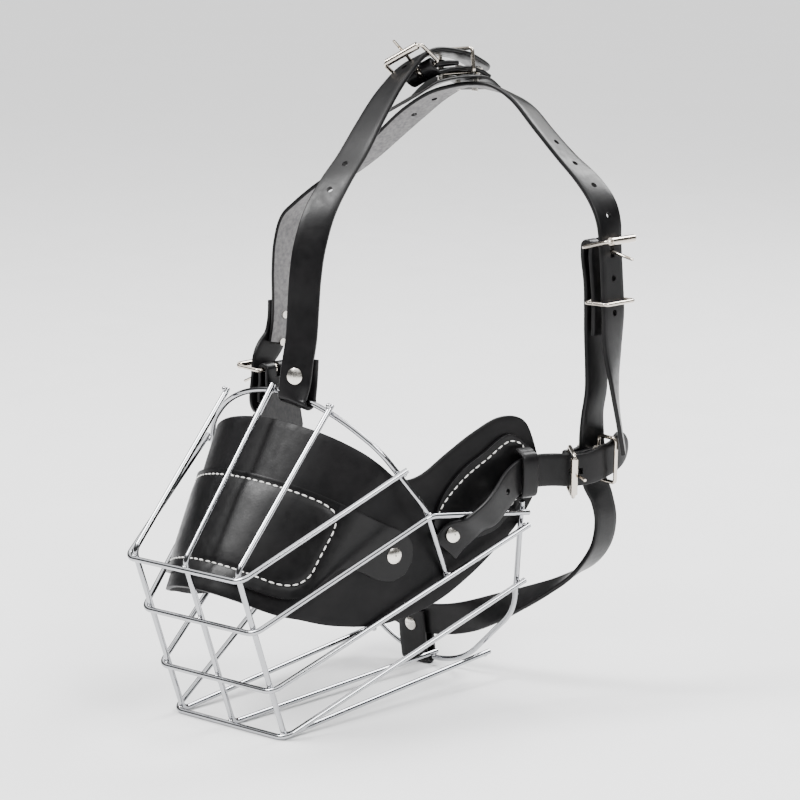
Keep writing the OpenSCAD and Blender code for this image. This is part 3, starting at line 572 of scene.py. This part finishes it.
def stitches(name, path):
    """path is a list of (point, normal); one short waxed stitch every STITCH_STEP along it."""
    long, step, rings, sides = STITCH_LONG, STITCH_STEP, STITCH_RINGS, STITCH_SIDES
    pts = [np.array(p) for p, _ in path]
    nrm = [np.array(n) for _, n in path]
    run = np.concatenate([[0], np.cumsum([np.linalg.norm(b - a) for a, b in zip(pts, pts[1:])])])

    def at(s):
        i = int(np.clip(np.searchsorted(run, s) - 1, 0, len(pts) - 2))
        k = (s - run[i]) / max(run[i + 1] - run[i], 1e-6)
        return pts[i] + (pts[i + 1] - pts[i]) * k, unit(nrm[i] + (nrm[i + 1] - nrm[i]) * k)

    verts, faces = [], []
    count = int((run[-1] - long) // step) + 1
    for c in range(count):
        s0 = step * c + (run[-1] - long - step * (count - 1)) / 2
        base = len(verts)
        for k in range(rings):
            f = k / (rings - 1)
            p, n = at(s0 + long * f)
            p2, _ = at(min(s0 + long * f + 0.1, run[-1]))
            p1, _ = at(max(s0 + long * f - 0.1, 0))
            d = unit(p2 - p1)
            b = np.cross(d, n)
            rise = math.sin(math.pi * f) * 0.3
            thin = 0.55 + 0.45 * math.sin(math.pi * f)
            for a in range(sides):
                w = 2 * math.pi * a / sides
                verts.append(p + b * (STITCH_WIDE * thin * math.cos(w))
                             + n * (STITCH_HIGH * thin * math.sin(w) + rise - 0.1))
        for k in range(rings - 1):
            here, then = base + k * sides, base + (k + 1) * sides
            for a in range(sides):
                q = (a + 1) % sides
                faces.append((here + a, here + q, then + q, then + a))
        last = base + (rings - 1) * sides
        faces += [tuple(base + a for a in range(sides - 1, -1, -1)), tuple(last + a for a in range(sides))]
    return settle(mesh_object(name, verts, faces, [THREAD]))


def saddle_path(tq, off):
    return [(on_saddle(t, q, off), saddle_normal(t, max(q, 0))) for t, q in tq]


near = saddle_path(nose_stitch, 1.85)
whole = [(mirror_x(p), mirror_x(n)) for p, n in reversed(near)] + near[1:]
stitches("nose_stitches", whole)
lo_s, up_s = smooth(patch_lower, 10), smooth(patch_upper, 10)
m = len(lo_s) - 1
patch_line = [lo_s[i] + (up_s[i] - lo_s[i]) * 0.9 for i in range(4, m - 3)]
patch_line += [lo_s[m - 4] + (up_s[m - 4] - lo_s[m - 4]) * k / 10 for k in range(8, 1, -1)]
patch_line += [lo_s[i] + (up_s[i] - lo_s[i]) * 0.1 for i in range(m - 4, 3, -1)]
for side, flip in (("right", False), ("left", True)):
    path = saddle_path(patch_line, 2.35)
    if flip:
        path = [(mirror_x(p), mirror_x(n)) for p, n in path]
    stitches("patch_stitches_" + side, path)


# ------------------------------------------------------------------ welds

BEAD_R, BEAD_RINGS, BEAD_SIDES = 1.5, 6, 12


def bead(name, points):
    """A small sphere of weld metal at each point; eight of them touch only one wire."""
    verts, faces = [], []
    for p in points:
        base = len(verts)
        for i in range(BEAD_RINGS + 1):
            for j in range(BEAD_SIDES):
                a, b = math.pi * i / BEAD_RINGS, 2 * math.pi * j / BEAD_SIDES
                out = (math.sin(a) * math.cos(b), math.sin(a) * math.sin(b), math.cos(a))
                verts.append(np.array(p) + np.array([BEAD_R * k for k in out]))
        for i in range(BEAD_RINGS):
            here, then = base + i * BEAD_SIDES, base + (i + 1) * BEAD_SIDES
            for j in range(BEAD_SIDES):
                q = (j + 1) % BEAD_SIDES
                faces.append((here + j, then + j, then + q, here + q))
    return settle(mesh_object(name, verts, faces, [WELD]))


top_u, foot_u = np.array([35, 0.6, 87.5]), np.array([35, 31.7, 1.4])
front = unit([0, unit(foot_u - top_u)[2], -unit(foot_u - top_u)[1]])
welds = []
for k in (0.03, 0.345, 0.70, 0.985):
    for x in (-35, 0, 35):
        c = top_u + (foot_u - top_u) * k
        welds.append(np.array([x, c[1], c[2]]) + front * 1.38)
for x in (-1, 1):
    welds += [np.array([a * x, b, c]) for a, b, c in (
        (35.3, 63.4, 158.6), (66.6, 82.6, 126.6), (73.2, 93.6, 105.6), (85, 150.2, 99.6), (84, 153, 92.2),
        (71.6, 164, 59.6), (38.6, 176.6, 13.4), (69.6, 112, 72.4))]
welds += [np.array([0, 60.6, 162.6]), np.array([0, 181.2, 5.2])]
bead("weld_beads", welds)


# ------------------------------------------------------------------ stage, light, camera

def lamp(name, at, aim, size, watts):
    """Square white area lamp, placed and aimed in metres."""
    d = bpy.data.lights.new(name, "AREA")
    d.shape, d.size, d.energy, d.color = "SQUARE", size, watts, (1, 1, 1)
    o = bpy.data.objects.new(name, d)
    o.location = at
    v = np.array(aim) - np.array(at)
    o.rotation_euler = (math.atan2(math.hypot(v[0], v[1]), -v[2]), 0, math.atan2(-v[0], v[1]))
    bpy.context.scene.collection.objects.link(o)


FLOOR = 40  # half width, in metres
me = bpy.data.meshes.new("floor")
corners = [(-FLOOR, -FLOOR, 0), (FLOOR, -FLOOR, 0), (FLOOR, FLOOR, 0), (-FLOOR, FLOOR, 0)]
me.from_pydata(corners, [], [(0, 1, 2, 3)])
floor_o = bpy.data.objects.new("floor", me)
floor_m = material("white floor", (0.93, 0.93, 0.935), rough=0.45, rough_var=0.03, rough_scale=20.0,
                   tint=(0.92, 0.92, 0.92), tint_scale=3.0, spec=0.3)
me.materials.append(floor_m)
bpy.context.scene.collection.objects.link(floor_o)

lamp("key", (-0.7, -1.0, 1.7), (0, 0, 0.12), 0.7, 50)
lamp("fill", (1.5, -0.2, 1.3), (0, 0, 0.15), 0.6, 22)
lamp("rim", (0.1, 1.4, 1.5), (0, 0, 0.2), 0.8, 36)

world = bpy.data.worlds.new("studio")
bpy.context.scene.world = world
world.use_nodes = True
nt = world.node_tree
bg = nt.nodes["Background"]
sep = nt.nodes.new("ShaderNodeSeparateXYZ")
nt.links.new(nt.nodes.new("ShaderNodeTexCoord").outputs["Generated"], sep.inputs["Vector"])
ramp = nt.nodes.new("ShaderNodeValToRGB")
nt.links.new(sep.outputs["Z"], ramp.inputs["Fac"])
e = ramp.color_ramp.elements
e[0].position, e[0].color = 0.0, (0.12, 0.12, 0.12, 1)
e[1].position, e[1].color = 1.0, (3.2, 3.2, 3.2, 1)
for pos, v in ((0.45, 0.1), (0.6, 0.6), (0.75, 3.0)):
    x = e.new(pos)
    x.color = (v, v, v, 1)
nt.links.new(ramp.outputs["Color"], bg.inputs["Color"])
bg.inputs["Strength"].default_value = 1.0

cam_d = bpy.data.cameras.new("camera")
cam_d.lens, cam_d.sensor_width = 130.3, 36
cam = bpy.data.objects.new("camera", cam_d)
cam.location = tuple((np.array([970.3, -931.1, 409.5]) + SHIFT) / MM)
cam.rotation_euler = (math.radians(79.7), 0, math.radians(41.8))
bpy.context.scene.collection.objects.link(cam)
bpy.context.scene.camera = cam
